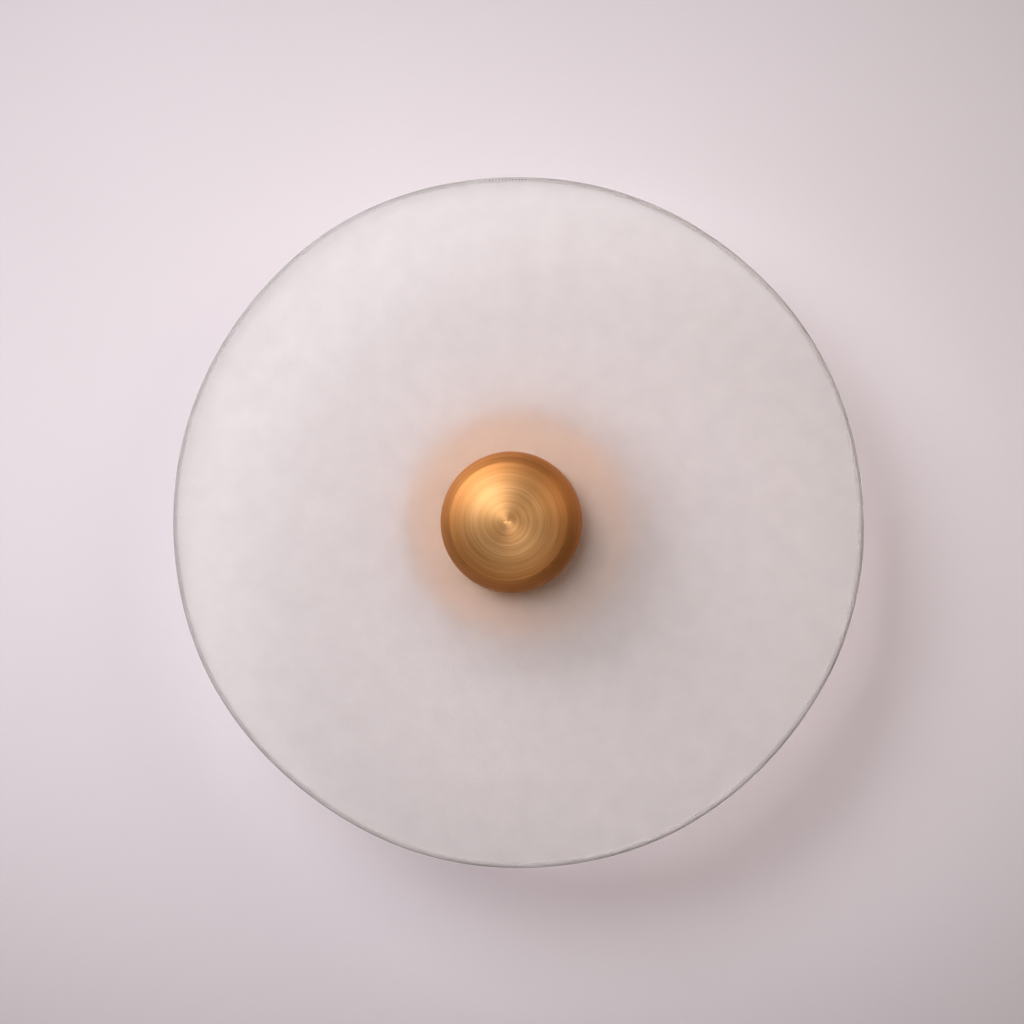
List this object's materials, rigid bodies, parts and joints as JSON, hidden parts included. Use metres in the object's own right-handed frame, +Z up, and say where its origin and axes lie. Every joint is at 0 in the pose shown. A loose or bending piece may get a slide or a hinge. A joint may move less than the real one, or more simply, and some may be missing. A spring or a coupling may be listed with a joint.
{
  "type": "wall sconce",
  "caption": "Wall light: a satin cast-glass disc stands off the wall before a round brass canopy, clamped by a turned brass dome.",
  "frame": {"origin": "centre of the wall bracket's two fixing slots, on the wall's surface", "axes": "+Z up, +X to the right of somebody facing the light, the wall is the plane y = 0 and the light stands at y < 0"},
  "size_m": [0.3502, 0.0938, 0.349],
  "materials": {
    "satin_glass": "acid-etched satin",
    "dome_brass": "turned and brushed in rings, lacquered",
    "brushed_brass": "brushed and lacquered",
    "raw_brass": "turned, not lacquered",
    "zinc_steel": "zinc plated",
    "aluminium": "mill finish",
    "white_board": "white solder mask",
    "light_chip": "yellow phosphor",
    "opal_plastic": "opal, satin",
    "nylon": "natural nylon",
    "silicone": "translucent silicone",
    "white_case": "moulded, fine grain",
    "brown_lead": "extruded",
    "blue_lead": "extruded",
    "red_lead": "extruded",
    "black_lead": "extruded",
    "green_lead": "green with a yellow stripe"
  },
  "bodies": {
    "bracket": {"wall_bracket": "zinc_steel", "earth_washer": "zinc_steel", "earth_screw": "zinc_steel"},
    "fixture": {"canopy": "brushed_brass", "canopy_studs": "zinc_steel", "stud_washers": "zinc_steel", "stud_nuts": "zinc_steel", "carrier_plate": "aluminium", "light_board": "white_board", "light_chips": "light_chip", "board_screws": "zinc_steel", "board_connector": "nylon", "opal_lens": "opal_plastic", "stem": "raw_brass", "stem_lock_washer": "zinc_steel", "stem_nut": "raw_brass", "spacer_tube": "brushed_brass", "rear_seat": "brushed_brass", "rear_gasket": "silicone", "front_gasket": "silicone", "glass_bush": "nylon", "glass_disc": "satin_glass", "glass_nut": "raw_brass", "driver": "white_case", "driver_screws": "zinc_steel", "terminal_block": "nylon", "terminal_screws": "zinc_steel", "terminal_fixings": "zinc_steel", "earth_ring_terminal": "zinc_steel", "fixture_earth_screw": "zinc_steel", "line_lead": "brown_lead", "neutral_lead": "blue_lead", "led_lead_positive": "red_lead", "led_lead_negative": "black_lead", "earth_lead": "green_lead"},
    "dome_carrier": {"dome_slip_ring": "nylon"},
    "dome": {"dome": "dome_brass", "dome_hub": "raw_brass"},
    "left_washer": {"side_washer_left": "nylon"},
    "left_screw": {"side_screw_left": "brushed_brass"},
    "right_washer": {"side_washer_right": "nylon"},
    "right_screw": {"side_screw_right": "brushed_brass"}
  },
  "joints": [
    {"name": "fixture_lift_off", "type": "slide", "parent": "bracket", "child": "fixture", "axis": [0, -1, 0], "range_m": [0, 0.05]},
    {"name": "dome_advance", "type": "slide", "parent": "fixture", "child": "dome_carrier", "axis": [0, -1, 0], "range_m": [0, 0.008]},
    {"name": "dome_turn", "type": "hinge", "parent": "dome_carrier", "child": "dome", "pos_m": [0, -0.08, 0], "axis": [0, -1, 0], "range_deg": [0, 2881]},
    {"name": "left_screw_travel", "type": "slide", "parent": "bracket", "child": "left_washer", "axis": [-1, 0, 0], "range_m": [0, 0.0056]},
    {"name": "left_screw_turn", "type": "hinge", "parent": "left_washer", "child": "left_screw", "pos_m": [-0.06085, -0.008, 0], "axis": [-1, 0, 0], "range_deg": [0, 2881]},
    {"name": "right_screw_travel", "type": "slide", "parent": "bracket", "child": "right_washer", "axis": [1, 0, 0], "range_m": [0, 0.0056]},
    {"name": "right_screw_turn", "type": "hinge", "parent": "right_washer", "child": "right_screw", "pos_m": [0.06085, -0.008, 0], "axis": [1, 0, 0], "range_deg": [0, 2881]}
  ],
  "couplings": [
    {"joint": "dome_turn", "follows": "dome_advance", "rad_per_m": 6283.2},
    {"joint": "left_screw_turn", "follows": "left_screw_travel", "rad_per_m": 8976},
    {"joint": "right_screw_turn", "follows": "right_screw_travel", "rad_per_m": 8976}
  ]
}
